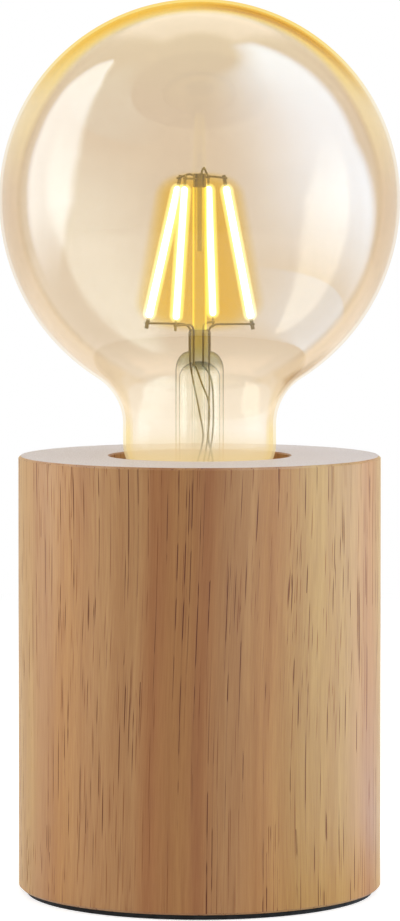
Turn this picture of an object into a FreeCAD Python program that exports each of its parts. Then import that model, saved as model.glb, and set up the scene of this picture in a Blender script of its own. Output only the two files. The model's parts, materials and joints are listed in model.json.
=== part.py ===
"""Bare bulb table lamp: a turned wooden cylinder with a deep round well, a screw
lampholder hidden in the well, and a large globe lamp bulb with four LED filaments.

Millimetres. +Z is up, the front is -Y, and the origin is the centre of the foot
pad's underside. The lamp's axis is the Z axis."""

import FreeCAD
import Part
import math
import os

from FreeCAD import Vector

# ---------------------------------------------------------------- wooden base
BASE_R = 50.0
BASE_H = 119.0
BASE_EDGE = 0.6
WELL_R = 25.0
WELL_DEPTH = 65.0
WELL_EDGE = 0.4
SHELF_T = 14.0
RECESS_R = 25.0
PAD_R = 47.8
PAD_T = 1.5

# ---------------------------------------------------------------- cable inlet
INLET_HEIGHT = 12.0
GROMMET_R = 5.0
GROMMET_BORE_R = 3.4
GROMMET_FLANGE_R = 7.2
GROMMET_FLANGE_T = 2.0
GROMMET_TAIL = 1.0
GROMMET_EDGE = 0.6
SPOT_FACE_DEPTH = 1.5
SNUG = 0.1
"""Radial clearance of pieces that are pushed into a drilled hole."""

# ---------------------------------------------------------------- nipple stack
NIPPLE_R = 5.0
NIPPLE_BORE_R = 3.9
NIPPLE_IN_HOLDER = 6.5
NIPPLE_PAST_NUT = 2.5
NIPPLE_HOLE_GAP = 0.25
THREAD_GAP = 0.05
"""Radial clearance between two screwed pieces, whose threads are left plain."""
WASHER_R = 12.0
WASHER_T = 1.5
NUT_FLATS = 14.0
NUT_T = 4.0

# ---------------------------------------------------------------- lampholder
HOLDER_R = 19.5
HOLDER_H = 55.0
HOLDER_WALL = 2.0
HOLDER_CAP_H = 22.0
HOLDER_FLOOR = 3.0
HOLDER_FOOT_BEVEL = 3.0
COLLAR_H = 8.0
"""Height of the holder cap's screwed collar, over which the skirt turns."""
COLLAR_STEP = 1.9
BOSS_R = 8.0
BOSS_H = 8.0
GRUB_R = 1.5
GRUB_L = 3.4
GRUB_HEIGHT = 5.0
SKIRT_LIP_BEVEL = 0.6
GRIP_COUNT = 12
GRIP_R = 0.6
BLOCK_H = 11.5
BLOCK_GAP = 0.3
BLOCK_FLANGE_T = 3.0
BLOCK_CABLE_R = 5.5
BLOCK_CABLE_DEPTH = 6.0
SKIRT_LEDGE = 0.9
SHELL_T = 0.4
SHELL_H = 25.5
SHELL_FLANGE = 2.85
CLAMP_X = 9.5
CLAMP_L = 6.0
CLAMP_W = 6.5
CLAMP_H = 6.0
CLAMP_WIRE_R = 1.2
TERMINAL_SCREW_R = 1.5
TERMINAL_HEAD_R = 2.6
TERMINAL_HEAD_H = 1.8
TERMINAL_SLOT_W = 0.7
TERMINAL_SLOT_DEPTH = 0.8
RIVET_R = 0.9
RIVET_HEAD_R = 1.2
RIVET_HEAD_H = 0.5
CONTACT_W = 6.0
CONTACT_T = 0.5
CONTACT_ROOT_X = -5.6
CONTACT_END_X = 3.0
CONTACT_END_DROP = 0.8
CONTACT_GAP = 0.3
CONTACT_FOOT_L = 3.6
CONTACT_TOUCH = 0.03
"""Air left between the centre contact and the bulb's tip, which lies on it."""

# ---------------------------------------------------------------- bulb cap
TIP_ABOVE_BLOCK = 3.0
TIP_R = 4.8
TIP_H = 1.7
TIP_DOME = 0.7
TIP_GAP = 0.1
CAP_R = 13.0
CAP_RUN = 0.08
"""Radial running clearance of the bulb's cap in the holder's screw shell."""
CAP_T = 0.4
CAP_L = 27.0
CAP_LIP_R = 8.8
CAP_LIP_Z = 4.6
CAP_CONE_H = 3.2
CAP_BELL = 0.5
CAP_BELL_H = 2.5
INSULATOR_NOSE_R = 5.6
INSULATOR_BORE_R = 1.6
INSULATOR_TOP = 9.2
CEMENT_GAP = 0.05

# ---------------------------------------------------------------- glass
GLASS_T = 0.8
GLOBE_R = 55.2
GLOBE_SAG = 3.0
"""How much further than a sphere the globe's lower half is drawn down."""
BLEND_R = 15.2
NECK_R = 21.1
NECK_STRAIGHT = 5.5
SHOULDER_R = 10.0
THROAT_R = 12.2
THROAT_L = 6.0
GLASS_SEAT = 21.0
"""Height of the glass's lower rim above the cap's tip."""

# ---------------------------------------------------------------- stem
STEM_R = 6.65
STEM_T = 1.0
STEM_TUBE_H = 39.5
FLARE_H = 10.0
DOME_H = 5.0
DOME_CAVITY_H = 2.5
PINCH_X = 6.2
PINCH_Y = 12.6
PINCH_H = 6.2
PINCH_ROUND = 2.0
EXHAUST_R = 2.1
EXHAUST_T = 0.7
EXHAUST_DROP = 5.5
EXHAUST_GAP = 0.3
POST_R = 1.93
POST_H = 39.2
PIN_R = 0.82
PIN_L = 17.6
PIN_GAP = 0.02
CRIMP_R = 1.8
CRIMP_H = 3.8
CRIMP_FLUTE_R = 0.45
CRIMP_FLUTES = 6

# ---------------------------------------------------------------- filaments
FILAMENT_R = 1.1
FOOT_R = 14.4
HEAD_R = 7.3
FOOT_ABOVE_PINCH = 3.1
HEAD_ABOVE_PINCH = 39.6
FOOT_AZIMUTHS = (-11.0, 75.0, 168.0, 243.5)
HEAD_AZIMUTHS = (-10.0, 70.0, 144.0, 236.0)
TAB_L = 3.0
TAB_W = 1.0
TAB_T = 0.3
TAB_GAP = 0.02
ARM_R = 0.3
ARM_PAST_TAB = 0.9
LOWER_ARM_ABOVE_PINCH = 1.5
UPPER_ARM_BELOW_CRIMP_TOP = 1.6
UPPER_ARM_RISE = 0.5
ARM_SPLAY_X = 2.6
ARM_SPLAY_Y = 3.9
ARM_TAIL = 3.6
ARM_BEND_R = 0.9
LEAD_R = 0.25
LEAD_GAP = 0.08
LEAD_ABOVE_BOARD = 0.3
LEAD_PLACE_R = 3.9
LEAD_BEND_R = 1.0
LEAD_SWAYS = (1.6, -1.2, 1.4, -1.5)
LEAD_UPPER_BEND = 0.25
LEAD_LOWER_BEND = 0.55

# ---------------------------------------------------------------- driver
BOARD_X = 15.0
BOARD_H = 9.0
BOARD_T = 1.0
BOARD_Y = 4.6
BOARD_REST = 0.3
CAPACITOR_R = 2.5
CAPACITOR_L = 6.5
CHIP_X = 3.6
CHIP_H = 2.8
CHIP_T = 1.2
CHIP_COUNT = 3
SOLDER_GAP = 0.02

# ---------------------------------------------------------------- worked-out levels
WOOD_Z = PAD_T
TOP_Z = WOOD_Z + BASE_H
SHELF_Z = TOP_Z - WELL_DEPTH
CEILING_Z = SHELF_Z - SHELF_T
INLET_Z = INLET_HEIGHT
SEAT_Y = BASE_R - SPOT_FACE_DEPTH
COLLAR_R = HOLDER_R - COLLAR_STEP
COLLAR_Z = SHELF_Z + HOLDER_CAP_H - COLLAR_H
COLLAR_TOP_Z = SHELF_Z + HOLDER_CAP_H
BLOCK_Z = COLLAR_TOP_Z - BLOCK_H
DECK_Z = COLLAR_TOP_Z + BLOCK_FLANGE_T
SHELL_R = CAP_R + CAP_RUN
TIP_Z = DECK_Z + TIP_ABOVE_BLOCK
RIM_Z = TIP_Z + GLASS_SEAT
TAPER = SHOULDER_R * math.sqrt(0.5)
SHOULDER_Z = RIM_Z + THROAT_L + NECK_R - SHOULDER_R + TAPER - THROAT_R + TAPER
BLEND_Z = SHOULDER_Z + NECK_STRAIGHT
GLOBE_Z = BLEND_Z + math.sqrt((GLOBE_R + GLOBE_SAG + BLEND_R) ** 2 - (NECK_R + BLEND_R + GLOBE_SAG) ** 2)
STEM_TOP_Z = RIM_Z + STEM_TUBE_H
PINCH_Z = STEM_TOP_Z + DOME_H
PINCH_TOP_Z = PINCH_Z + PINCH_H
POST_TOP_Z = PINCH_TOP_Z + POST_H
CRIMP_TOP_Z = POST_TOP_Z + CRIMP_H
INSULATOR_TOP_Z = TIP_Z + INSULATOR_TOP
BOARD_Z = INSULATOR_TOP_Z + BOARD_REST

UP = Vector(0, 0, 1)
ALONG_X = Vector(1, 0, 0)
ALONG_Y = Vector(0, 1, 0)


# ---------------------------------------------------------------- helpers
def disc(radius, low, high):
    """Upright cylinder about the lamp's axis between two heights."""
    return Part.makeCylinder(radius, high - low, Vector(0, 0, low), UP)


def ring(outer, inner, low, high):
    """Upright tube about the lamp's axis between two heights."""
    return disc(outer, low, high).cut(disc(inner, low - 1, high + 1))


def rod(start, end, radius):
    """Round bar between two points."""
    return Part.makeCylinder(radius, (end - start).Length, start, end - start)


def block(size_x, size_y, size_z, x, y, z):
    """Box centred on x and y, standing on z."""
    return Part.makeBox(size_x, size_y, size_z, Vector(x - size_x / 2, y - size_y / 2, z))


def spin(wire):
    """Solid swept by a closed outline in the XZ plane as it turns about the axis."""
    return Part.Face(wire).revolve(Vector(0, 0, 0), UP, 360)


def spin_points(points):
    """Solid of revolution from (radius, height) corners."""
    corners = [Vector(r, 0, z) for r, z in points]
    return spin(Part.makePolygon(corners + corners[:1]))


def line(a, b):
    """Straight edge in the XZ plane between (radius, height) pairs."""
    return Part.makeLine(Vector(a[0], 0, a[1]), Vector(b[0], 0, b[1]))


def arc(centre, radius, start, end):
    """Arc in the XZ plane from angle start to angle end, degrees from +X towards +Z."""

    def at(angle):
        turn = math.radians(angle)
        return Vector(centre[0] + radius * math.cos(turn), 0, centre[1] + radius * math.sin(turn))

    return Part.Arc(at(start), at((start + end) / 2), at(end)).toShape()


def polar(radius, azimuth, height):
    """Point at a radius, azimuth in degrees and height."""
    turn = math.radians(azimuth)
    return Vector(radius * math.cos(turn), radius * math.sin(turn), height)


def turned(shape, degrees):
    """Copy of a shape turned about the lamp's axis."""
    copy = shape.copy()
    copy.rotate(Vector(0, 0, 0), UP, degrees)
    return copy


def bent_wire(points, radius, bend):
    """Round wire along straight runs joined by tangent arcs of one bend radius."""
    edges = []
    start = points[0]
    for before, corner, after in zip(points, points[1:], points[2:]):
        into = (corner - before).normalize()
        out = (after - corner).normalize()
        turn = into.getAngle(out)
        setback = bend * math.tan(turn / 2)
        enter = corner - into * setback
        leave = corner + out * setback
        inward = (out - into).normalize()
        middle = corner + inward * (bend / math.cos(turn / 2) - bend)
        edges.append(Part.makeLine(start, enter))
        edges.append(Part.Arc(enter, middle, leave).toShape())
        start = leave
    edges.append(Part.makeLine(start, points[-1]))
    path = Part.Wire(edges)
    section = Part.Wire(Part.makeCircle(radius, points[0], points[1] - points[0]))
    return path.makePipeShell([section], True, True)


def save(name, *solids):
    """Write one piece, or one group of like pieces, to its STEP file."""
    shape = solids[0] if len(solids) == 1 else Part.makeCompound(list(solids))
    assert shape.isValid(), name
    assert all(solid.Volume > 0 for solid in shape.Solids), name
    shape.exportStep("parts/" + name + ".step")
    print(f"{name:22s} solids {len(shape.Solids)}  volume {shape.Volume:10.1f}")


# ---------------------------------------------------------------- base
def wood_base():
    """Turned cylinder with a well from the top, a recess from below, a web between
    them drilled for the nipple, and a cable hole to the rear with a spot face."""
    body = disc(BASE_R, WOOD_Z, TOP_Z)
    rims = [e for e in body.Edges if at_rim(e, BASE_R, WOOD_Z) or at_rim(e, BASE_R, TOP_Z)]
    body = body.makeChamfer(BASE_EDGE, rims)
    body = body.cut(disc(WELL_R, SHELF_Z, TOP_Z + 1))
    mouth = [e for e in body.Edges if at_rim(e, WELL_R, TOP_Z)]
    body = body.makeChamfer(WELL_EDGE, mouth)
    body = body.cut(disc(RECESS_R, WOOD_Z - 1, CEILING_Z))
    body = body.cut(disc(NIPPLE_R + NIPPLE_HOLE_GAP, CEILING_Z - 1, SHELF_Z + 1))
    rear = Vector(0, 0, INLET_Z)
    body = body.cut(Part.makeCylinder(GROMMET_R + SNUG, BASE_R + 1, rear, ALONG_Y))
    seat = Vector(0, SEAT_Y, INLET_Z)
    return body.cut(Part.makeCylinder(GROMMET_FLANGE_R + SNUG, BASE_R, seat, ALONG_Y))


def at_rim(edge, radius, height):
    """Whether an edge is the round rim of one radius at one height about the axis."""
    curve = edge.Curve
    if not isinstance(curve, Part.Circle):
        return False
    return abs(curve.Radius - radius) < 1e-6 and abs(curve.Center.z - height) < 1e-6


def base_pad():
    """Thin black foot disc, set in from the wood's edge, that closes the recess."""
    return disc(PAD_R, 0, PAD_T)


def cable_grommet():
    """Flanged bush in the rear wall that the supply cable comes in through."""
    length = SEAT_Y - RECESS_R + GROMMET_TAIL
    seat = Vector(0, SEAT_Y, INLET_Z)
    sleeve = Part.makeCylinder(GROMMET_R, length, seat, -ALONG_Y)
    flange = Part.makeCylinder(GROMMET_FLANGE_R, GROMMET_FLANGE_T, seat, ALONG_Y)
    outer = [e for e in flange.Edges if e.CenterOfMass.y > SEAT_Y + GROMMET_FLANGE_T - 1e-6]
    flange = flange.makeChamfer(GROMMET_EDGE, outer)
    front = Vector(0, SEAT_Y + GROMMET_FLANGE_T + 1, INLET_Z)
    bore = Part.makeCylinder(GROMMET_BORE_R, length + GROMMET_FLANGE_T + 2, front, -ALONG_Y)
    return sleeve.fuse(flange).removeSplitter().cut(bore)


# ---------------------------------------------------------------- fastening
def threaded_nipple():
    """Hollow threaded tube that clamps the lampholder to the wooden web."""
    low = CEILING_Z - WASHER_T - NUT_T - NIPPLE_PAST_NUT
    return ring(NIPPLE_R, NIPPLE_BORE_R, low, SHELF_Z + NIPPLE_IN_HOLDER)


def nipple_washer():
    """Flat washer under the web."""
    return ring(WASHER_R, NIPPLE_R + NIPPLE_HOLE_GAP, CEILING_Z - WASHER_T, CEILING_Z)


def nipple_nut():
    """Hexagon nut under the washer, its corners chamfered by a cone."""
    low = CEILING_Z - WASHER_T - NUT_T
    corner_r = NUT_FLATS / math.sqrt(3)
    corners = [polar(corner_r, 60 * k, low) for k in range(7)]
    hexagon = Part.Face(Part.makePolygon(corners)).extrude(UP * NUT_T)
    chamfer = corner_r - NUT_FLATS / 2
    high = low + NUT_T
    turning = spin_points(
        ((0, low), (corner_r - chamfer, low), (corner_r, low + chamfer), (corner_r, high), (0, high))
    )
    return hexagon.common(turning).cut(disc(NIPPLE_R + THREAD_GAP, low - 1, high + 1))


def grub_screw():
    """Set screw in the holder cap's boss that locks it on the nipple."""
    start = Vector(NIPPLE_R + THREAD_GAP / 2, 0, SHELF_Z + GRUB_HEIGHT)
    screw = rod(start, start + ALONG_X * GRUB_L, GRUB_R - THREAD_GAP)
    slot = block(
        TERMINAL_SLOT_DEPTH * 2, 2 * GRUB_R, TERMINAL_SLOT_W,
        start.x + GRUB_L, 0, start.z - TERMINAL_SLOT_W / 2,
    )
    return screw.cut(slot)


# ---------------------------------------------------------------- lampholder
def holder_cap():
    """Moulded cup under the contacts, with a boss for the nipple and a collar."""
    cup = disc(HOLDER_R, SHELF_Z, COLLAR_Z)
    foot = [e for e in cup.Edges if at_rim(e, HOLDER_R, SHELF_Z)]
    cup = cup.makeChamfer(HOLDER_FOOT_BEVEL, foot)
    cup = cup.fuse(disc(COLLAR_R, COLLAR_Z, COLLAR_TOP_Z))
    cup = cup.cut(disc(COLLAR_R - HOLDER_WALL, SHELF_Z + HOLDER_FLOOR, COLLAR_TOP_Z + 1))
    cup = cup.fuse(disc(BOSS_R, SHELF_Z + HOLDER_FLOOR, SHELF_Z + BOSS_H)).removeSplitter()
    cup = cup.cut(disc(NIPPLE_R + THREAD_GAP, SHELF_Z - 1, SHELF_Z + BOSS_H + 1))
    centre = Vector(0, 0, SHELF_Z + GRUB_HEIGHT)
    return cup.cut(rod(centre, centre + ALONG_X * (BOSS_R + 1), GRUB_R))


def holder_skirt():
    """Moulded sleeve that screws over the collar, clamps the contact block under its
    inner ledge and stands round the screw shell, with grip flutes near its foot."""
    high = SHELF_Z + HOLDER_H
    sleeve = disc(HOLDER_R, COLLAR_Z, high)
    lip = [e for e in sleeve.Edges if at_rim(e, HOLDER_R, high)]
    sleeve = sleeve.makeChamfer(SKIRT_LIP_BEVEL, lip)
    sleeve = sleeve.cut(disc(COLLAR_R + THREAD_GAP, COLLAR_Z - 1, DECK_Z))
    sleeve = sleeve.cut(disc(COLLAR_R - SKIRT_LEDGE, COLLAR_Z, high + 1))
    flute = Part.makeCylinder(GRIP_R, COLLAR_TOP_Z - COLLAR_Z, Vector(HOLDER_R, 0, COLLAR_Z), UP)
    flutes = [turned(flute, 360 * (k + 0.5) / GRIP_COUNT) for k in range(GRIP_COUNT)]
    return sleeve.cut(Part.makeCompound(flutes))


def contact_block():
    """Ceramic insert that carries the screw shell and contacts on its deck and the
    terminals in two pockets below."""
    body = disc(COLLAR_R - HOLDER_WALL - BLOCK_GAP, BLOCK_Z, COLLAR_TOP_Z)
    body = body.fuse(disc(COLLAR_R - SNUG, COLLAR_TOP_Z, DECK_Z)).removeSplitter()
    body = body.cut(disc(BLOCK_CABLE_R, BLOCK_Z - 1, BLOCK_Z + BLOCK_CABLE_DEPTH))
    for side in (-1, 1):
        reach = COLLAR_R - CLAMP_X + CLAMP_L / 2
        middle = side * (CLAMP_X - CLAMP_L / 2 + reach / 2 - BLOCK_GAP)
        pocket_h = CLAMP_H + BLOCK_GAP
        body = body.cut(block(reach, CLAMP_W + 2 * BLOCK_GAP, pocket_h + 1, middle, 0, BLOCK_Z - 1))
    for hole in rivet_places():
        body = body.cut(rod(Vector(hole.x, hole.y, DECK_Z + 1), hole, RIVET_R + THREAD_GAP))
    return body


def shell_mid_r():
    """Radius of the middle of the screw shell's turned-in flange."""
    return SHELL_R - SHELL_FLANGE / 2


def foot_mid_x():
    """Place of the rivet in the centre contact's fixed foot."""
    return CONTACT_ROOT_X - CONTACT_GAP / 2 - CONTACT_FOOT_L / 2


def rivet_places():
    """Lower ends of the rivets: two reach the terminals, two are blind."""
    terminal_z = BLOCK_Z + CLAMP_H + BLOCK_GAP
    places = [Vector(foot_mid_x(), 0, terminal_z), Vector(shell_mid_r(), 0, terminal_z)]
    return places + [polar(shell_mid_r(), azimuth, COLLAR_TOP_Z) for azimuth in (120, 240)]


def contact_rivets():
    """Rivets that hold the screw shell and the centre contact to the block."""
    rivets = []
    for place, sheet in zip(rivet_places(), (CONTACT_T, SHELL_T, SHELL_T, SHELL_T)):
        head_z = DECK_Z + sheet
        head = Part.makeCylinder(RIVET_HEAD_R, RIVET_HEAD_H, Vector(place.x, place.y, head_z), UP)
        shank = rod(place, Vector(place.x, place.y, head_z), RIVET_R)
        rivets.append(shank.fuse(head).removeSplitter())
    return rivets


def screw_shell():
    """Thin brass shell that the bulb's cap turns in, with a turned-in riveted flange."""
    outer = SHELL_R + SHELL_T
    inner = outer - SHELL_T - SHELL_FLANGE
    high = DECK_Z + SHELL_H
    shell = spin_points(
        (
            (inner, DECK_Z), (outer, DECK_Z), (outer, high), (SHELL_R, high),
            (SHELL_R, DECK_Z + SHELL_T), (inner, DECK_Z + SHELL_T),
        )
    )
    for place in rivet_places()[1:]:
        shell = shell.cut(rod(Vector(place.x, place.y, DECK_Z - 1), place + UP * 20, RIVET_R + THREAD_GAP))
    return shell


def contact_foot():
    """Riveted foot of the centre contact's spring strip."""
    right = CONTACT_ROOT_X - CONTACT_GAP / 2
    foot = block(CONTACT_FOOT_L, CONTACT_W, CONTACT_T, right - CONTACT_FOOT_L / 2, 0, DECK_Z)
    shank = Vector(foot_mid_x(), 0, DECK_Z - 1)
    return foot.cut(rod(shank, shank + UP * 5, RIVET_R + THREAD_GAP))


def centre_contact():
    """Springy tongue that rises from its foot to the bulb's tip and dips at its end."""
    left = CONTACT_ROOT_X + CONTACT_GAP / 2
    crest = TIP_Z - CONTACT_TOUCH
    end = crest - CONTACT_END_DROP
    root = DECK_Z + CONTACT_T
    corners = (
        (left, root - CONTACT_T), (0, crest - CONTACT_T), (CONTACT_END_X, end - CONTACT_T),
        (CONTACT_END_X, end), (0, crest), (left, root),
    )
    side = [Vector(x, -CONTACT_W / 2, z) for x, z in corners]
    return Part.Face(Part.makePolygon(side + side[:1])).extrude(ALONG_Y * CONTACT_W)


def terminal_clamps():
    """Brass blocks that take the two conductors, one under each rivet."""
    clamps = []
    for side in (-1, 1):
        clamp = block(CLAMP_L, CLAMP_W, CLAMP_H, side * CLAMP_X, 0, BLOCK_Z)
        middle = Vector(side * CLAMP_X, 0, BLOCK_Z + CLAMP_H / 2)
        wire = rod(middle - ALONG_X * CLAMP_L, middle + ALONG_X * CLAMP_L, CLAMP_WIRE_R)
        tapped = rod(Vector(middle.x, 0, BLOCK_Z - 1), middle, TERMINAL_SCREW_R + THREAD_GAP)
        clamps.append(clamp.cut(wire).cut(tapped))
    return clamps


def terminal_screws():
    """Slotted screws that press the conductors into the terminal blocks."""
    screws = []
    for side in (-1, 1):
        x = side * CLAMP_X
        tip = Vector(x, 0, BLOCK_Z + CLAMP_H / 2 - CLAMP_WIRE_R)
        shank = rod(Vector(x, 0, BLOCK_Z), tip, TERMINAL_SCREW_R)
        head = Part.makeCylinder(TERMINAL_HEAD_R, TERMINAL_HEAD_H, Vector(x, 0, BLOCK_Z), -UP)
        low = BLOCK_Z - TERMINAL_HEAD_H
        slot = block(TERMINAL_SLOT_W, 3 * TERMINAL_HEAD_R, TERMINAL_SLOT_DEPTH, x, 0, low)
        screws.append(head.fuse(shank).removeSplitter().cut(slot))
    return screws


# ---------------------------------------------------------------- bulb cap
def tip_contact():
    """Domed solder contact at the cap's lowest point."""
    dome_r = (TIP_R**2 + TIP_DOME**2) / (2 * TIP_DOME)
    edge = math.degrees(math.asin(TIP_R / dome_r))
    top = TIP_Z + TIP_H
    shoulder = (TIP_R, TIP_Z + TIP_DOME)
    edges = [
        arc((0, TIP_Z + dome_r), dome_r, -90, -90 + edge),
        line(shoulder, (TIP_R, top)),
        line((TIP_R, top), (0, top)),
        line((0, top), (0, TIP_Z)),
    ]
    return spin(Part.Wire(edges))


def cap_shell():
    """Drawn cap sleeve: a cone at the bottom, the screwed barrel and a belled rim."""
    lip = TIP_Z + CAP_LIP_Z
    cone = lip + CAP_CONE_H
    bell = TIP_Z + CAP_L - CAP_BELL_H
    rim = TIP_Z + CAP_L
    outer = ((CAP_LIP_R, lip), (CAP_R, cone), (CAP_R, bell), (CAP_R + CAP_BELL, rim))
    inner = (
        (CAP_R + CAP_BELL - CAP_T, rim), (CAP_R - CAP_T, bell),
        (CAP_R - CAP_T, cone + CAP_T / 2), (CAP_LIP_R, lip + CAP_T * 1.25),
    )
    return spin_points(outer + inner)


def cap_insulator():
    """Black glass cone that parts the tip from the cap sleeve."""
    nose = TIP_Z + TIP_H + TIP_GAP
    lip = TIP_Z + CAP_LIP_Z
    inside = CAP_R - CAP_T - CAP_T / 2
    neck = CAP_LIP_R - TIP_GAP
    top = TIP_Z + INSULATOR_TOP
    return spin_points(
        (
            (INSULATOR_BORE_R, nose), (INSULATOR_NOSE_R, nose), (neck, lip), (neck, lip + CAP_T * 1.5),
            (inside, lip + CAP_CONE_H + CAP_T), (inside, top), (INSULATOR_BORE_R, top),
        )
    )


def cap_cement():
    """Ring of cement between the glass throat and the cap sleeve."""
    low = RIM_Z + CEMENT_GAP
    high = TIP_Z + CAP_L - CAP_BELL
    bell = TIP_Z + CAP_L - CAP_BELL_H
    inner = THROAT_R + CEMENT_GAP
    outer = CAP_R - CAP_T - CEMENT_GAP
    return spin_points(((inner, low), (outer, low), (outer, bell), (outer, high), (inner, high)))


# ---------------------------------------------------------------- glass envelope
def envelope_edges(inset):
    """Outline of the glass from its top down to its lower rim, set in by a wall."""
    low_r = GLOBE_R + GLOBE_SAG - inset
    blend = (NECK_R + BLEND_R, BLEND_Z)
    lean = math.degrees(math.atan2(BLEND_Z - GLOBE_Z, blend[0] + GLOBE_SAG))
    neck = NECK_R - inset
    shoulder = (NECK_R - SHOULDER_R, SHOULDER_Z)
    turn_r = SHOULDER_R - inset
    throat = THROAT_R - inset
    taper_start = (shoulder[0] + turn_r * math.sqrt(0.5), SHOULDER_Z - turn_r * math.sqrt(0.5))
    taper_end = (throat, taper_start[1] - (taper_start[0] - throat))
    return [
        arc((0, GLOBE_Z), GLOBE_R - inset, 90, 0),
        arc((-GLOBE_SAG, GLOBE_Z), low_r, 0, lean),
        arc(blend, BLEND_R + inset, lean + 180, 180),
        line((neck, BLEND_Z), (neck, SHOULDER_Z)),
        arc(shoulder, turn_r, 0, -45),
        line(taper_start, taper_end),
        line(taper_end, (throat, RIM_Z)),
    ]


def glass_envelope():
    """Blown globe with a drawn neck, a rounded shoulder and a throat in the cap."""
    outside = envelope_edges(0)
    inside = envelope_edges(GLASS_T)
    top = line((0, GLOBE_Z + GLOBE_R - GLASS_T), (0, GLOBE_Z + GLOBE_R))
    rim = line((THROAT_R, RIM_Z), (THROAT_R - GLASS_T, RIM_Z))
    return spin(Part.Wire(Part.sortEdges(outside + inside + [top, rim])[0]))


# ---------------------------------------------------------------- filament mount
def arm_place(azimuth):
    """Where the lower arm of one azimuth stands in the pinch."""
    turn = math.radians(azimuth)
    return Vector(ARM_SPLAY_X * math.cos(turn), ARM_SPLAY_Y * math.sin(turn), PINCH_TOP_Z)


def pinch_outline(height):
    """Rounded rectangle of the pinched glass at one height."""
    flat = Part.makeBox(PINCH_X, PINCH_Y, 1, Vector(-PINCH_X / 2, -PINCH_Y / 2, height))
    upright = [e for e in flat.Edges if abs(e.tangentAt(e.FirstParameter).z) > 0.5]
    rounded = flat.makeFillet(PINCH_ROUND, upright)
    return min(rounded.Faces, key=lambda face: face.CenterOfMass.z).OuterWire


def stem_glass():
    """Tube flared at its foot, whose top is softened and pinched flat round the arms."""
    flare_r = THROAT_R - GLASS_T - CEMENT_GAP
    flare_top = RIM_Z + FLARE_H
    bore_r = STEM_R - STEM_T
    cavity_top = STEM_TOP_Z + DOME_CAVITY_H
    outer = spin_points(
        ((0, RIM_Z), (flare_r, RIM_Z), (STEM_R, flare_top), (STEM_R, STEM_TOP_Z), (0, STEM_TOP_Z))
    )
    cavity = spin_points(
        (
            (0, RIM_Z), (flare_r - STEM_T, RIM_Z), (bore_r, flare_top), (bore_r, STEM_TOP_Z),
            (bore_r - DOME_CAVITY_H, cavity_top), (0, cavity_top),
        )
    )
    mouth = Part.Wire(Part.makeCircle(STEM_R, Vector(0, 0, STEM_TOP_Z), UP))
    dome = Part.makeLoft([mouth, pinch_outline(PINCH_Z)], True, False)
    pinch = Part.Face(pinch_outline(PINCH_Z)).extrude(UP * PINCH_H)
    glass = outer.fuse(dome).fuse(pinch).cut(cavity)
    for azimuth in FOOT_AZIMUTHS:
        place = arm_place(azimuth)
        drop = Vector(0, 0, PINCH_H + DOME_H)
        glass = glass.cut(rod(place - drop, place + UP, ARM_R + PIN_GAP))
    return glass


def exhaust_tube():
    """Thin glass tube up the middle of the stem, closed where it was tipped off."""
    low = RIM_Z - EXHAUST_DROP
    tube = disc(EXHAUST_R, low, STEM_TOP_Z)
    bore = disc(EXHAUST_R - EXHAUST_T, low + 2 * EXHAUST_T, STEM_TOP_Z + 1)
    tip = Part.makeSphere(EXHAUST_R, Vector(0, 0, low))
    neck = disc(EXHAUST_R, STEM_TOP_Z, STEM_TOP_Z + DOME_CAVITY_H - EXHAUST_GAP)
    return tube.fuse(tip).fuse(neck).removeSplitter().cut(bore)


def centre_post():
    """Glass rod that rises from the pinch, with the support pin let into its top."""
    pocket = disc(PIN_R + PIN_GAP, POST_TOP_Z - PIN_L, POST_TOP_Z + 1)
    return disc(POST_R, PINCH_TOP_Z, POST_TOP_Z).cut(pocket)


def support_pin():
    """Metal pin in the post's top that carries the crimp."""
    return disc(PIN_R, POST_TOP_Z - PIN_L, POST_TOP_Z)


def post_crimp():
    """Crimped metal bush on the post that grips the upper arms."""
    bush = disc(CRIMP_R, POST_TOP_Z, CRIMP_TOP_Z)
    flute = Part.makeCylinder(CRIMP_FLUTE_R, CRIMP_H, Vector(CRIMP_R, 0, POST_TOP_Z), UP)
    for k in range(CRIMP_FLUTES):
        bush = bush.cut(turned(flute, 360 * k / CRIMP_FLUTES))
    return bush


def filament_ends():
    """Lower and upper end of each lit filament."""
    low = PINCH_TOP_Z + FOOT_ABOVE_PINCH
    high = PINCH_TOP_Z + HEAD_ABOVE_PINCH
    feet = [polar(FOOT_R, azimuth, low) for azimuth in FOOT_AZIMUTHS]
    heads = [polar(HEAD_R, azimuth, high) for azimuth in HEAD_AZIMUTHS]
    return list(zip(feet, heads))


def led_filaments():
    """Four coated LED filaments, leaning in towards the top."""
    return [rod(foot, head, FILAMENT_R) for foot, head in filament_ends()]


def across(point):
    """Level direction square to the line from the lamp's axis to a point."""
    return UP.cross(Vector(point.x, point.y, 0)).normalize()


def tab(start, direction):
    """Flat metal tab that carries on from a filament's end, its flat side across."""
    plate = block(TAB_W, TAB_T, TAB_L, 0, 0, TAB_GAP)
    flat = across(start)
    turn = FreeCAD.Rotation(flat.cross(direction), flat, direction, "ZYX")
    plate.Placement = FreeCAD.Placement(start, turn).multiply(plate.Placement)
    return plate


def filament_tabs():
    """Eight tabs, two on each filament."""
    tabs = []
    for foot, head in filament_ends():
        tabs.append(tab(foot, foot - head))
        tabs.append(tab(head, head - foot))
    return tabs


def arm_end(start, direction, level):
    """Where an arm's middle line passes a tab's flat side at one height."""
    point = start + direction * ((level - start.z) / direction.z)
    return point + across(point) * (TAB_T / 2 + ARM_R + 2 * TAB_GAP)


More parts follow.
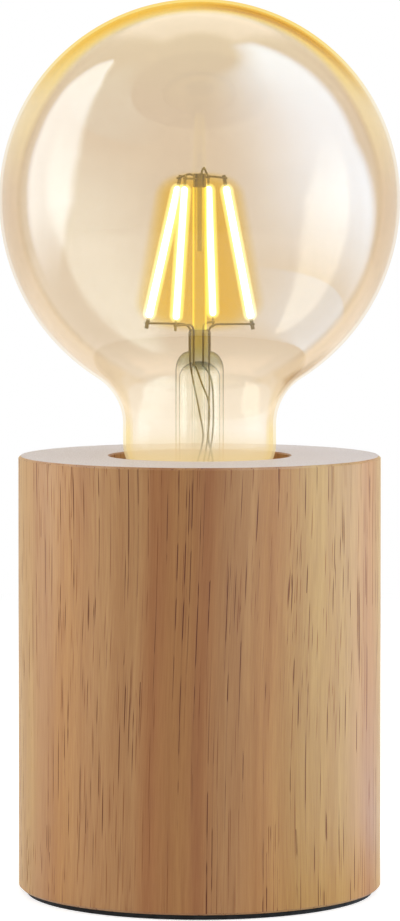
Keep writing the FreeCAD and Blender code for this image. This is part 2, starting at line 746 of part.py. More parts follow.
def lower_arms():
    """Stiff wires that stand in the pinch and bend out past the filaments' lower tabs."""
    arms = []
    level = PINCH_TOP_Z + LOWER_ARM_ABOVE_PINCH
    for azimuth, (foot, head) in zip(FOOT_AZIMUTHS, filament_ends()):
        place = arm_place(azimuth)
        corner = Vector(place.x, place.y, level)
        tail = place - Vector(0, 0, PINCH_H + ARM_TAIL)
        end = arm_end(foot, foot - head, level)
        past = (end - corner).normalize() * ARM_PAST_TAB
        arms.append(bent_wire([tail, corner, end + past], ARM_R, ARM_BEND_R))
    return arms


def upper_arms():
    """Star of short wires from the crimp past the filaments' upper tabs."""
    arms = []
    level = CRIMP_TOP_Z - UPPER_ARM_BELOW_CRIMP_TOP
    for foot, head in filament_ends():
        end = arm_end(head, head - foot, level + UPPER_ARM_RISE)
        outward = Vector(end.x, end.y, 0).normalize()
        start = outward * (CRIMP_R + TAB_GAP) + UP * level
        past = (end - start).normalize() * ARM_PAST_TAB
        arms.append(rod(start, end + past, ARM_R))
    return arms


def lead_wires():
    """Thin wires from the arms' tails down the stem, past the exhaust tube, to the driver."""
    wires = []
    low = BOARD_Z + BOARD_H + LEAD_ABOVE_BOARD
    for azimuth, sway in zip(FOOT_AZIMUTHS, LEAD_SWAYS):
        top = arm_place(azimuth) - Vector(0, 0, PINCH_H + ARM_TAIL + LEAD_GAP)
        outward = Vector(top.x, top.y, 0).normalize()
        side = across(top) * sway
        clear = outward * LEAD_PLACE_R
        length = top.z - low
        upper = clear + side + UP * (top.z - LEAD_UPPER_BEND * length)
        lower = clear - side / 2 + UP * (top.z - LEAD_LOWER_BEND * length)
        wires.append(bent_wire([top, upper, lower, clear + UP * low], LEAD_R, LEAD_BEND_R))
    return wires


# ---------------------------------------------------------------- driver
def driver_board():
    """Small circuit board standing in the cap on the insulator."""
    return block(BOARD_X, BOARD_T, BOARD_H, 0, BOARD_Y, BOARD_Z)


def driver_capacitor():
    """Round capacitor on the board's inner face."""
    near = BOARD_Y - BOARD_T / 2 - SOLDER_GAP
    start = Vector(-BOARD_X / 2 + CAPACITOR_R, near - CAPACITOR_R, BOARD_Z + BOARD_H / 2 - CAPACITOR_L / 2)
    return Part.makeCylinder(CAPACITOR_R, CAPACITOR_L, start, UP)


def driver_chips():
    """Moulded chips on the board's outer face."""
    pitch = BOARD_X / CHIP_COUNT
    y = BOARD_Y + BOARD_T / 2 + CHIP_T / 2 + SOLDER_GAP
    z = BOARD_Z + BOARD_H / 2 - CHIP_H / 2
    return [block(CHIP_X, CHIP_T, CHIP_H, (k - (CHIP_COUNT - 1) / 2) * pitch, y, z) for k in range(CHIP_COUNT)]


# ---------------------------------------------------------------- write
os.makedirs("parts", exist_ok=True)

save("wood_base", wood_base())
save("base_pad", base_pad())
save("cable_grommet", cable_grommet())
save("threaded_nipple", threaded_nipple())
save("nipple_washer", nipple_washer())
save("nipple_nut", nipple_nut())
save("grub_screw", grub_screw())
save("holder_cap", holder_cap())
save("holder_skirt", holder_skirt())
save("contact_block", contact_block())
save("contact_rivets", *contact_rivets())
save("screw_shell", screw_shell())
save("contact_foot", contact_foot())
save("centre_contact", centre_contact())
save("terminal_clamps", *terminal_clamps())
save("terminal_screws", *terminal_screws())
save("tip_contact", tip_contact())
save("cap_shell", cap_shell())
save("cap_insulator", cap_insulator())
save("cap_cement", cap_cement())
save("glass_envelope", glass_envelope())
save("stem_glass", stem_glass())
save("exhaust_tube", exhaust_tube())
save("centre_post", centre_post())
save("support_pin", support_pin())
save("post_crimp", post_crimp())
save("led_filaments", *led_filaments())
save("filament_tabs", *filament_tabs())
save("lower_arms", *lower_arms())
save("upper_arms", *upper_arms())
save("lead_wires", *lead_wires())
save("driver_board", driver_board())
save("driver_capacitor", driver_capacitor())
save("driver_chips", *driver_chips())
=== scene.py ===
"""Looks of the bare bulb table lamp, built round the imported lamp.

Metres, +Z up, the front is -Y, and the lamp's axis is the Z axis. Shapes are surfaces
worked out with numpy, either an outline turned about the axis or a section carried
along a path. Finishes read Object coordinates."""

import json
import math

import bmesh
import bpy
import numpy as np
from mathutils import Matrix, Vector

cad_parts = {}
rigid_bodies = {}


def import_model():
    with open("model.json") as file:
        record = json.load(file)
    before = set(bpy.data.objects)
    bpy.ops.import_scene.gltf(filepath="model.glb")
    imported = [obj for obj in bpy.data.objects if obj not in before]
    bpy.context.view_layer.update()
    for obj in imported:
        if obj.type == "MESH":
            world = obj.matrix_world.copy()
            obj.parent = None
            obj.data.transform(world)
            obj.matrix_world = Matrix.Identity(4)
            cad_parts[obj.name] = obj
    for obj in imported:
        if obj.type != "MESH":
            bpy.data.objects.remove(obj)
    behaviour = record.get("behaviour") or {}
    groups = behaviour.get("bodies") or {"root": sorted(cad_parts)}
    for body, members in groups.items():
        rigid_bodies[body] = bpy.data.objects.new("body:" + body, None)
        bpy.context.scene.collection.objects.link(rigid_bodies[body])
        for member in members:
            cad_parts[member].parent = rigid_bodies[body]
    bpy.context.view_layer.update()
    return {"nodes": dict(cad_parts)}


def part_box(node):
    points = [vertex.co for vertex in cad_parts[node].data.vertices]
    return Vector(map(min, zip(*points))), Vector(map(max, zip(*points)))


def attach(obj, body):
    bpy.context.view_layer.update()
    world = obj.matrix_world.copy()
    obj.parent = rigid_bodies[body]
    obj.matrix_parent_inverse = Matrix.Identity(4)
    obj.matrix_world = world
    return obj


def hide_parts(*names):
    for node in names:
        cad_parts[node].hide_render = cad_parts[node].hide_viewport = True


for leftover in list(bpy.data.objects):
    bpy.data.objects.remove(leftover)

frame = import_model()
NODES = frame["nodes"]
MM = 0.001

# ---------------------------------------------------------------- the picture
# CAMERA_F, LENS_SHIFT and AXIS_OFF are in pixels of a frame FRAME_H high, and
# CAMERA_DROP is in degrees.
FRAME_H = 921
CAMERA_F = 4326.3
CAMERA_BACK = 1.19217
CAMERA_HEIGHT = 0.2033
CAMERA_DROP = 1.926
LENS_SHIFT = -160.0
AXIS_OFF = 0.4
SENSOR = 36.0
FLOOR_HALF = 1.9
PANEL_STEPS = 25

# ---------------------------------------------------------------- wood
WOOD_HALF = 50.0 * MM
WOOD_TONES = {
    "pale": (184, 148, 81),
    "tan": (182, 140, 89),
    "ochre": (176, 128, 71),
    "russet": (163, 110, 59),
}
WOOD_ZONES = (
    (0.00, "pale"), (0.07, "tan"), (0.12, "ochre"), (0.22, "tan"), (0.31, "tan"), (0.37, "russet"),
    (0.46, "ochre"), (0.51, "russet"), (0.60, "tan"), (0.69, "ochre"), (0.80, "pale"), (0.88, "pale"),
    (0.97, "ochre"), (1.00, "pale"),
)

# ---------------------------------------------------------------- glass
RIM_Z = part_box("glass_envelope")[0].z
GLOBE_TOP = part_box("glass_envelope")[1].z
GLOBE_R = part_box("glass_envelope")[1].x
GLOBE_SAG = 3.0 * MM
GLASS_T = 0.8 * MM
BLEND_R = 15.2 * MM
NECK_R = 21.1 * MM
NECK_STRAIGHT = 5.5 * MM
SHOULDER_R = 10.0 * MM
THROAT_R = 12.2 * MM
THROAT_L = 6.0 * MM
GLASS_SEGMENTS = 160
BLEND_TOP = RIM_Z + 38.0 * MM
# Heights over which the painted glow in the neck fades out, and its golden foot.
NECK_GLOW_Z = (RIM_Z + 12.0 * MM, RIM_Z + 30.0 * MM)
LOW_GLOW_Z = (RIM_Z + 16.0 * MM, RIM_Z + 23.0 * MM)

# ---------------------------------------------------------------- stem
PINCH_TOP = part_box("stem_glass")[1].z
PINCH_H = 6.2 * MM
DOME_H = 5.0 * MM
PINCH_HALF = (3.1 * MM, 6.3 * MM)
PINCH_POWER = 5.0
STEM_R = 6.65 * MM
STEM_T = 1.0 * MM
FLARE_R = 11.3 * MM
FLARE_H = 10.0 * MM
CAVITY_ROOM = 2.0 * MM

# ---------------------------------------------------------------- filaments
FILAMENT_R = 1.1 * MM
FOOT_R = 14.4 * MM
HEAD_R = 7.3 * MM
FOOT_Z = PINCH_TOP + 3.1 * MM
HEAD_Z = PINCH_TOP + 39.6 * MM
FOOT_AZIMUTHS = (-11.0, 75.0, 168.0, 243.5)
HEAD_AZIMUTHS = (-10.0, 70.0, 144.0, 236.0)
HALO_R = 2.1 * MM
GLOW_R = (20.0 * MM, 14.5 * MM)
GLOW_EDGE = 9.0 * MM
GLOW_SPILL = (4.5 * MM, 5.0 * MM)
HALO_SPILL = 0.8 * MM

# ---------------------------------------------------------------- threads
CAP_R = 13.0 * MM
CAP_LIP_R = 8.8 * MM
CAP_T = 0.4 * MM
SHELL_T = 0.4 * MM
FLANGE_BORE = 10.23 * MM
NIPPLE_BORE = 3.9 * MM
SCREW_PITCH = 0.0254 / 7
THREAD_CUT = 0.38 * MM
CEMENT_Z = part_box("cap_cement")[0].z - 0.15 * MM

# ---------------------------------------------------------------- wires
ARM_R = 0.3 * MM
ARM_ROOTS = (2.66, 3.83, 2.66, 3.68)
STAR_BOWS = (0.3, 2.6, 0.9, -0.3)
LEAD_R = 0.25 * MM
# Each lead's points in millimetres, from the pinch down to the driver.
LEADS = (
    ((2.55, -0.74, 145.4), (2.7, -1.1, 140.0), (2.5, -1.6, 131.0), (2.5, -2.2, 124.6), (3.7, -1.2, 118.0),
     (3.74, -1.09, 102.3)),
    ((0.67, 3.77, 145.4), (3.3, 2.6, 141.0), (3.8, 1.6, 130.0), (3.0, 2.6, 122.0), (1.0, 3.7, 112.0),
     (0.69, 3.84, 102.3)),
    ((-2.54, 0.81, 145.4), (-1.9, 2.2, 141.5), (0.0, 2.9, 132.0), (0.9, 3.0, 124.6), (-1.5, 2.6, 115.0),
     (-3.72, 1.18, 102.3)),
    ((-1.16, -3.49, 145.4), (0.6, -3.1, 140.5), (2.6, -2.9, 134.4), (2.1, -3.0, 124.6), (0.2, -3.5, 114.0),
     (-1.23, -3.7, 102.3)),
)


# ---------------------------------------------------------------- shapes
def piece(name, points, faces, body, finish, replaced=(), smooth=40.0):
    """Welded mesh object from points and quads, its faces turned outwards. The signed
    volume, a third of the sum of each corner times its facet's area vector, tells
    which way they point."""
    corners = points[faces]
    fans = np.cross(corners[:, 1] - corners[:, 0], corners[:, 2] - corners[:, 0])
    fans += np.cross(corners[:, 2] - corners[:, 0], corners[:, 3] - corners[:, 0])
    if (fans * corners.mean(1)).sum() < 0:
        faces = faces[:, ::-1]
    mesh = bpy.data.meshes.new(name)
    mesh.from_pydata(points.tolist(), [], faces.tolist())
    weld(mesh)
    mesh.shade_smooth()
    mesh.set_sharp_from_angle(angle=math.radians(smooth))
    thing = bpy.data.objects.new(name, mesh)
    bpy.context.scene.collection.objects.link(thing)
    mesh.materials.append(finish)
    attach(thing, body)
    if replaced:
        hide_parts(*replaced)
    return thing


def weld(mesh):
    """Joins the corners that meet at seams and poles."""
    shape = bmesh.new()
    shape.from_mesh(mesh)
    bmesh.ops.remove_doubles(shape, verts=shape.verts, dist=1e-7)
    shape.to_mesh(mesh)
    shape.free()


def grid_faces(rows, columns, ring_rows=False):
    """Quads over a grid whose columns close on themselves, and its rows too if asked."""
    row_count = rows if ring_rows else rows - 1
    i, j = np.meshgrid(np.arange(row_count), np.arange(columns), indexing="ij")
    below, beside = (i + 1) % rows, (j + 1) % columns
    quads = [i * columns + j, i * columns + beside, below * columns + beside, below * columns + j]
    return np.stack(quads, -1).reshape(-1, 4)


def arc(centre, radius, start, end, count):
    """(radius, height) points on an arc: centre plus radius times cosine and sine of an
    angle that runs evenly from start to end, in degrees."""
    angle = np.radians(np.linspace(start, end, count))
    return np.stack([centre[0] + radius * np.cos(angle), centre[1] + radius * np.sin(angle)], 1)


def turned(outline, segments, closed=False):
    """Points and quads of an outline of (radius, height) pairs turned about the axis:
    x and y are the radius times cosine and sine of the angle, z is the height."""
    angle = np.linspace(0, 2 * math.pi, segments, endpoint=False)
    radius, height = outline[:, :1], outline[:, 1:]
    points = np.stack(
        [radius * np.cos(angle), radius * np.sin(angle), height + 0 * angle], -1
    )
    return points.reshape(-1, 3), grid_faces(len(outline), segments, closed)


def ringed(half_x, half_y, power, height, segments):
    """Points and quads of a stack of superellipses: x is half_x times the cosine raised
    to 2/power with its sign kept, y the same with the sine, one row for each height."""
    angle = np.linspace(0, 2 * math.pi, segments, endpoint=False)
    bend = 2 / power[:, None]
    x = half_x[:, None] * np.sign(np.cos(angle)) * np.abs(np.cos(angle)) ** bend
    y = half_y[:, None] * np.sign(np.sin(angle)) * np.abs(np.sin(angle)) ** bend
    z = height[:, None] + 0 * angle
    return np.stack([x, y, z], -1).reshape(-1, 3), grid_faces(len(height), segments)


def rods(starts, ends, profile, segments):
    """Points and quads of like rods between pairs of points. The profile gives a share
    of the length and a radius for each ring, and a ring is its centre plus the radius
    times cosine and sine along two directions square to the rod."""
    run = ends - starts
    side = np.cross(run, (0.0, 0.0, 1.0))
    side /= np.linalg.norm(side, axis=1, keepdims=True)
    other = np.cross(run, side)
    other /= np.linalg.norm(other, axis=1, keepdims=True)
    angle = np.linspace(0, 2 * math.pi, segments, endpoint=False)
    circle = np.cos(angle)[None, :, None] * side[:, None] + np.sin(angle)[None, :, None] * other[:, None]
    centres = starts[:, None] + profile[None, :, :1] * run[:, None]
    points = centres[:, :, None] + profile[None, :, 1, None, None] * circle[:, None]
    one = grid_faces(len(profile), segments)
    count = len(profile) * segments
    faces = (one[None] + count * np.arange(len(starts))[:, None, None]).reshape(-1, 4)
    return points.reshape(-1, 3), faces


def polar(radius, azimuths, height):
    """Points at one radius and height and several azimuths in degrees."""
    angle = np.radians(np.array(azimuths))
    return np.stack([radius * np.cos(angle), radius * np.sin(angle), height + 0 * angle], 1)


# ---------------------------------------------------------------- finishes
class Finish:
    """A material's node tree, written from its patterns to its shader."""

    def __init__(self, name):
        self.material = bpy.data.materials.new(name)
        self.material.use_nodes = True
        self.tree = self.material.node_tree
        self.tree.nodes.clear()
        self.place = self.add("TexCoord").outputs["Object"]

    def add(self, kind, settings=(), **sockets):
        """New node with its settings and its sockets set or joined by name."""
        made = self.tree.nodes.new("ShaderNode" + kind)
        for key, value in dict(settings).items():
            setattr(made, key, value)
        for key, value in sockets.items():
            self.join(made.inputs[key.replace("_", " ")], value)
        return made

    def join(self, socket, value):
        """Sets a socket to a value, or links it where the value is another socket. A
        colour of three shares is made opaque."""
        if isinstance(value, bpy.types.NodeSocket):
            self.tree.links.new(value, socket)
        elif isinstance(value, tuple) and len(value) == 3 and socket.type == "RGBA":
            socket.default_value = (*value, 1.0)
        else:
            socket.default_value = value

    def math(self, operation, a, b=0.0, clamp=False):
        """One Math node's result."""
        made = self.add("Math", {"operation": operation, "use_clamp": clamp})
        self.join(made.inputs[0], a)
        self.join(made.inputs[1], b)
        return made.outputs[0]

    def scaled(self, vector, size):
        """Vector times a size for each axis."""
        made = self.add("VectorMath", {"operation": "MULTIPLY"})
        self.join(made.inputs[0], vector)
        self.join(made.inputs[1], size)
        return made.outputs[0]

    def moved(self, vector, offset):
        """Vector plus another vector."""
        made = self.add("VectorMath", {"operation": "ADD"})
        self.join(made.inputs[0], vector)
        self.join(made.inputs[1], offset)
        return made.outputs[0]

    def ramp(self, value, *stops):
        """Colour that eases through the stops, each a place from 0 to 1 and a colour."""
        made = self.add("ValToRGB", Fac=value)
        made.color_ramp.interpolation = "EASE"
        marks = made.color_ramp.elements
        for mark, (place, colour) in zip(list(marks) + [None] * len(stops), stops):
            mark = mark or marks.new(place)
            mark.position = place
            mark.color = (*colour, 1.0)
        return made.outputs["Color"]

    def step(self, value, low, high, start=0.0, end=1.0):
        """Smooth step from start to end as the value goes from low to high."""
        made = self.add(
            "MapRange", {"interpolation_type": "SMOOTHSTEP"},
            Value=value, From_Min=low, From_Max=high, To_Min=start, To_Max=end,
        )
        return made.outputs["Result"]

    def mix(self, share, a, b, blend="MIX"):
        """Two colours mixed by a share."""
        made = self.add("Mix", {"data_type": "RGBA", "blend_type": blend})
        for socket, value in ((made.inputs[0], share), (made.inputs[6], a), (made.inputs[7], b)):
            self.join(socket, value)
        return made.outputs[2]

    def shaded(self, share, base, tone):
        """Colour darkened by a share of an 8-bit tone."""
        return self.mix(share, base, self.mix(1.0, base, linear(*tone), "MULTIPLY"))

    def noise(self, scale, vector=None, detail=2.0, rough=0.5):
        """Noise value about 0.5 at a scale in cycles per metre."""
        made = self.add(
            "TexNoise", Vector=vector or self.place, Scale=scale, Detail=detail, Roughness=rough
        )
        return made.outputs["Fac"]

    def bell(self, value, centre, half):
        """Peak of 1 at the centre that falls evenly to 0 at half a width either side."""
        away = self.math("ABSOLUTE", self.math("SUBTRACT", value, centre))
        return self.math("SUBTRACT", 1.0, self.math("DIVIDE", away, half), clamp=True)

    def facing(self):
        """How much the face is seen on edge: 1 less the cosine to the eye."""
        return self.add("LayerWeight", Blend=0.5).outputs["Facing"]

    def glance(self, straight, full):
        """Share of light that a clear face mirrors, the same from inside and outside:
        its share straight on, and the rest by the fifth power of how much it is seen
        on edge."""
        rise = self.math("MULTIPLY", self.math("POWER", self.facing(), 5.0), full - straight)
        return self.math("ADD", rise, straight, clamp=True)

    def bump(self, height, depth, strength=1.0):
        """Normal of a raised pattern whose full height is the depth in metres."""
        return self.add("Bump", Height=height, Distance=depth, Strength=strength).outputs["Normal"]

    def clear(self, colour):
        """Shader that lets light pass, tinted."""
        return self.add("BsdfTransparent", Color=colour).outputs[0]

    def gloss(self, colour, roughness):
        """Shader that mirrors."""
        return self.add("BsdfGlossy", Color=colour, Roughness=roughness).outputs[0]

    def lit(self, colour, strength):
        """Shader that gives light."""
        return self.add("Emission", Color=colour, Strength=strength).outputs[0]

    def blend(self, share, first, second):
        """Two shaders, the second by a share."""
        made = self.add("MixShader", Fac=share)
        self.join(made.inputs[1], first)
        self.join(made.inputs[2], second)
        return made.outputs[0]

    def out(self, shader):
        """Ends the tree with a shader and gives the material."""
        self.add("OutputMaterial", Surface=shader)
        return self.material

    def principled(self, **sockets):
        """Ends the tree with a Principled shader."""
        return self.out(self.add("BsdfPrincipled", **sockets).outputs[0])


def linear(red, green, blue):
    """Linear colour of an 8-bit display colour."""
    share = np.array([red, green, blue]) / 255
    return tuple(np.where(share < 0.04045, share / 12.92, ((share + 0.055) / 1.055) ** 2.4).tolist())


def crossed(red, green, blue):
    """Colour that light keeps at one face of the glass, when an 8-bit display colour is
    what is left after the four faces of both walls: its fourth root."""
    return tuple((np.array(linear(red, green, blue)) ** 0.25).tolist())


def wood_finish():
    """Satin wood: zones of red, brown and yellow along the grain, long dark pores in
    loose clusters and fine fibres that wander a little from upright, and end grain
    where the face looks up, painted pale grey as a painted sheen of the surroundings."""
    f = Finish("beech")
    sway = f.add("TexNoise", Vector=f.scaled(f.place, (11.0, 11.0, 6.5)), Scale=1.0, Detail=1.0)
    shift = f.scaled(f.moved(sway.outputs["Color"], (-0.5, -0.5, -0.5)), (0.013, 0.0015, 0.0))
    grain = f.moved(f.place, shift)
    across = f.add("SeparateXYZ", Vector=grain).outputs["X"]
    place = f.add("MapRange", Value=across, From_Min=-WOOD_HALF, From_Max=WOOD_HALF).outputs[0]
    base = f.ramp(place, *[(stop, linear(*WOOD_TONES[tone])) for stop, tone in WOOD_ZONES])
    bands = f.noise(1.0, f.scaled(grain, (95.0, 95.0, 4.0)), 3.0)
    base = f.shaded(f.step(bands, 0.36, 0.60, 0.0, 0.55), base, (228, 208, 190))
    stripes = f.noise(1.0, f.scaled(grain, (420.0, 420.0, 9.0)), 2.0)
    base = f.shaded(f.step(stripes, 0.35, 0.65, 0.0, 0.30), base, (218, 196, 170))
    fibre = f.noise(1.0, f.scaled(grain, (2600.0, 2600.0, 90.0)), 3.0, 0.6)
    base = f.shaded(f.step(fibre, 0.3, 0.7, 0.0, 0.40), base, (220, 202, 184))
    cluster = f.noise(1.0, f.scaled(grain, (150.0, 150.0, 7.0)), 2.0)
    bold = pores(f, grain, (1800.0, 1800.0, 4.5), (0.17, 0.33), f.step(cluster, 0.36, 0.58, 0.66, 0.08))
    fine = pores(f, grain, (2200.0, 2200.0, 17.0), (0.16, 0.38), f.step(cluster, 0.34, 0.58, 0.82, 0.45))
    breaks = f.noise(1.0, f.scaled(grain, (900.0, 900.0, 95.0)), 1.0)
    bold = f.math("MULTIPLY", bold, f.step(breaks, 0.42, 0.52, 0.25, 1.0))
    fine = f.math("MULTIPLY", fine, f.step(breaks, 0.32, 0.54, 0.1, 0.80))
    face = f.mix(fine, base, linear(122, 66, 30))
    face = f.mix(bold, face, linear(88, 37, 13))
    # End grain on the flat faces, its pale grey a painted sheen of the surroundings at a grazing look.
    up = f.add("SeparateXYZ", Vector=f.add("NewGeometry").outputs["Normal"]).outputs["Z"]
    speck = f.noise(2200.0, detail=3.0, rough=0.7)
    end = f.ramp(speck, (0.35, linear(192, 176, 167)), (0.62, linear(222, 211, 206)))
    colour = f.mix(f.step(f.math("ABSOLUTE", up), 0.75, 0.97), face, end)
    pits = f.math("MAXIMUM", bold, fine)
    height = f.math("SUBTRACT", f.math("MULTIPLY", fibre, 0.25), pits)
    return f.principled(
        Base_Color=colour, Roughness=f.step(pits, 0.0, 1.0, 0.46, 0.9), Specular_IOR_Level=0.5,
        Normal=f.bump(height, 0.00006, 0.5),
    )


def pores(f, grain, size, core, least):
    """Share of pore at a point: the pores are the cores of long cells, solid within the
    first part of a cell's width and gone past the second, and only the cells whose own
    random number is above the least one hold a pore."""
    cells = f.add("TexVoronoi", {"feature": "F1"}, Vector=f.scaled(grain, size), Scale=1.0)
    pick = f.add("SeparateColor", Color=cells.outputs["Color"]).outputs[0]
    share = f.step(cells.outputs["Distance"], core[0], core[1], 1.0, 0.0)
    return f.math("MULTIPLY", share, f.math("GREATER_THAN", pick, least))


def amber_tint(f, edge, height, top):
    """Colour that one face of the amber glass lets pass. On edge it is peach, and gold
    at the globe's top; in the neck it is painted paler cream and gold, painted light of
    the glow there. A thin darker line lies where the edge band starts, with a streak
    inside the gold and a painted reflection of the wood at the waist, both made
    stronger on the right as painted shade."""
    level = f.math("DIVIDE", f.math("SUBTRACT", height, RIM_Z), GLOBE_TOP - RIM_Z, clamp=True)
    # The paler cream low on both ramps and the gold edge in the neck are painted light of the glow in the
    # neck.
    body = f.ramp(
        level, (0.12, crossed(254, 240, 216)), (0.22, crossed(250, 232, 205)),
        (0.36, crossed(222, 199, 168)), (0.75, crossed(217, 192, 160)), (0.98, crossed(224, 202, 164)),
    )
    rim = f.ramp(
        level, (0.13, crossed(252, 226, 150)), (0.20, crossed(248, 224, 184)),
        (0.32, crossed(230, 203, 166)), (0.60, crossed(218, 189, 153)),
        (0.78, crossed(236, 210, 156)), (0.94, crossed(244, 203, 78)),
    )
    start = f.math("ADD", f.math("MULTIPLY", top, 0.10), 0.55)
    tint = f.mix(f.step(f.math("SUBTRACT", edge, start), 0.0, 0.06), body, rim)
    globe = f.step(height, BLEND_TOP, BLEND_TOP + 12 * MM)
    line = f.math("MULTIPLY", f.bell(edge, 0.575, 0.03), f.math("SUBTRACT", globe, top, clamp=True))
    tint = f.mix(f.math("MULTIPLY", line, 0.7), tint, crossed(205, 172, 126))
    # Painted shade: the streaks below are made stronger on the right side.
    across = f.add("SeparateXYZ", Vector=f.place).outputs["X"]
    right = f.step(across, -10 * MM, 15 * MM, 0.15, 1.0)
    streak = f.math("MULTIPLY", f.bell(edge, 0.76, 0.05), top)
    tint = f.mix(f.math("MULTIPLY", streak, right), tint, crossed(160, 96, 12))
    # Painted reflection of the wood, brown, at the waist.
    waist = f.math("MULTIPLY", f.bell(edge, 0.80, 0.09), f.bell(height, BLEND_TOP, 8 * MM))
    return f.mix(f.math("MULTIPLY", waist, right), tint, crossed(150, 104, 48))


def amber_glass_finish():
    """Thin blown glass with an amber coat: light passes tinted, the face mirrors, and
    the neck has a painted glow, cream and golden at its foot, in place of the light
    that comes down the stem."""
    f = Finish("amber_glass")
    edge = f.facing()
    height = f.add("SeparateXYZ", Vector=f.place).outputs["Z"]
    top = f.step(height, GLOBE_TOP - 34 * MM, GLOBE_TOP - 6 * MM)
    tint = amber_tint(f, edge, height, top)
    gold = f.math("MULTIPLY", f.step(edge, 0.68, 0.76), top)
    mirror = f.gloss(f.mix(gold, (1.0, 1.0, 1.0), (1.0, 0.78, 0.30)), 0.02)
    polish = f.step(height, RIM_Z + 18 * MM, BLEND_TOP + 6 * MM, 0.3, 1.0)
    glass = f.blend(f.math("MULTIPLY", f.glance(0.04, 0.45), polish), f.clear(tint), mirror)
    # Painted glow in the neck: an emission, cream above and golden at its foot, that stands in for the
    # filaments' light.
    low = f.step(height, *LOW_GLOW_Z, 1.0, 0.0)
    painted_glow = f.math("ADD", f.math("MULTIPLY", low, 0.22), f.step(height, *NECK_GLOW_Z, 0.17, 0.0))
    return f.out(f.blend(painted_glow, glass, f.lit(f.mix(low, (1.0, 0.91, 0.76), (0.93, 0.74, 0.42)), 1.0)))


def stem_glass_finish():
    """Lead glass that darkens where it is seen on edge: olive in the pinch, a painted grey
    shade over the domed shoulder, clear in the tube and golden where the tube enters
    the wood."""
    f = Finish("stem_glass")
    height = f.add("SeparateXYZ", Vector=f.place).outputs["Z"]
    level = f.add("MapRange", Value=height, From_Min=RIM_Z, From_Max=PINCH_TOP).outputs[0]
    # The grey at the domed shoulder is painted shade.
    centre = f.ramp(
        level, (0.40, (0.985, 0.983, 0.970)), (0.76, (0.980, 0.982, 0.965)), (0.83, (0.72, 0.73, 0.64)),
        (0.88, (0.72, 0.70, 0.42)), (0.93, (0.76, 0.70, 0.30)),
    )
    rim = f.ramp(
        level, (0.34, (0.86, 0.66, 0.22)), (0.46, (0.66, 0.66, 0.57)), (0.80, (0.28, 0.28, 0.22)),
        (0.90, (0.38, 0.35, 0.12)),
    )
    clear = f.clear(f.mix(f.step(f.facing(), 0.62, 1.0), centre, rim))
    return f.out(f.blend(f.glance(0.03, 0.3), clear, f.gloss((1.0, 1.0, 1.0), 0.03)))


def post_glass_finish():
    """Glass rod between the lit filaments, with their light painted in as a glow of its
    own, stronger where it is seen on edge.
    """
    f = Finish("post_glass")
    # Painted glow: the rod gives light of its own.
    lit = f.lit((1.0, 0.92, 0.22), f.step(f.facing(), 0.1, 0.6, 0.9, 2.2))
    return f.out(f.blend(f.step(f.facing(), 0.2, 0.55, 0.20, 0.42), f.clear((0.98, 0.93, 0.50)), lit))


def plain_finish(name, dark, pale, scale, roughness, metallic=0.0, depth=0.04 * MM):
    """Solid finish whose colour and gloss vary a little over fine noise."""
    swing = 0.08
    f = Finish(name)
    cloud = f.noise(scale, detail=4.0, rough=0.6)
    colour = f.mix(f.step(cloud, 0.3, 0.7), dark, pale)
    rough = f.step(cloud, 0.3, 0.7, roughness - swing, roughness + swing)
    grit = f.noise(scale * 6, detail=2.0)
    return f.principled(
        Base_Color=colour, Metallic=metallic, Roughness=rough, Normal=f.bump(grit, depth, 0.5)
    )


def filament_finish():
    """Lit phosphor coat, white-hot where it faces the eye and yellow at its edges."""
    f = Finish("filament_glow")
    edge = f.facing()
    colour = f.mix(f.step(edge, 0.45, 1.0), (1.0, 0.98, 0.90), (1.0, 0.88, 0.50))
    return f.out(f.lit(colour, f.step(edge, 0.3, 0.8, 20.0, 1.6)))


def halo_finish():
    """Soft light round a lit rod: white in the middle, then pale yellow, and gone at its
    edges."""
    f = Finish("filament_halo")
    edge = f.facing()
    colour = f.mix(f.step(edge, 0.10, 0.75), (1.0, 1.0, 0.95), (0.82, 0.90, 0.62))
    share = f.math("MULTIPLY", f.step(edge, 0.90, 0.05), 0.42)
    return f.out(f.blend(share, f.clear((1.0, 1.0, 1.0)), f.lit(colour, 2.4)))


def warm_glow_finish():
    """Golden light between the rods: tints what is behind it, adds a little of its own,
    and fades at its edges. Light crosses it twice, so one face keeps the square root
    of the tint."""
    f = Finish("warm_glow")
    fade = f.step(f.facing(), 0.03, 0.62)
    gold = tuple((np.array(linear(249, 213, 66)) ** 0.5).tolist())
    share = f.math("MULTIPLY", f.math("SUBTRACT", 1.0, fade), 0.16)
    return f.out(f.blend(share, f.clear(f.mix(fade, gold, (1.0, 1.0, 1.0))), f.lit((1.0, 0.70, 0.10), 1.1)))


# ---------------------------------------------------------------- pieces
def glass_outline(inset):
    """Outline of one face of the glass, from the top to the rim: arcs of the globe, its
    drawn lower half, the blend and the shoulder, joined by straight runs."""
    globe_low = GLOBE_R + GLOBE_SAG
    taper = SHOULDER_R * math.sqrt(0.5)
    shoulder_z = RIM_Z + THROAT_L + NECK_R - SHOULDER_R + taper - THROAT_R + taper
    blend_z = shoulder_z + NECK_STRAIGHT
    globe_z = GLOBE_TOP - GLOBE_R
    blend = (NECK_R + BLEND_R, blend_z)
    lean = math.degrees(math.atan2(blend_z - globe_z, blend[0] + GLOBE_SAG))
    shoulder = (NECK_R - SHOULDER_R, shoulder_z)
    throat = THROAT_R - inset
    turn_r = SHOULDER_R - inset
    taper_start = (shoulder[0] + turn_r * math.sqrt(0.5), shoulder_z - turn_r * math.sqrt(0.5))
    taper_end = (throat, taper_start[1] - (taper_start[0] - throat))
    return np.concatenate([
        arc((0, globe_z), GLOBE_R - inset, 90, 0, 48),
        arc((-GLOBE_SAG, globe_z), globe_low - inset, 0, lean, 48)[1:],
        arc(blend, BLEND_R + inset, lean + 180, 180, 20)[1:],
        arc(shoulder, turn_r, 0, -45, 12),
        np.linspace(taper_end, (throat, RIM_Z), 3),
    ])


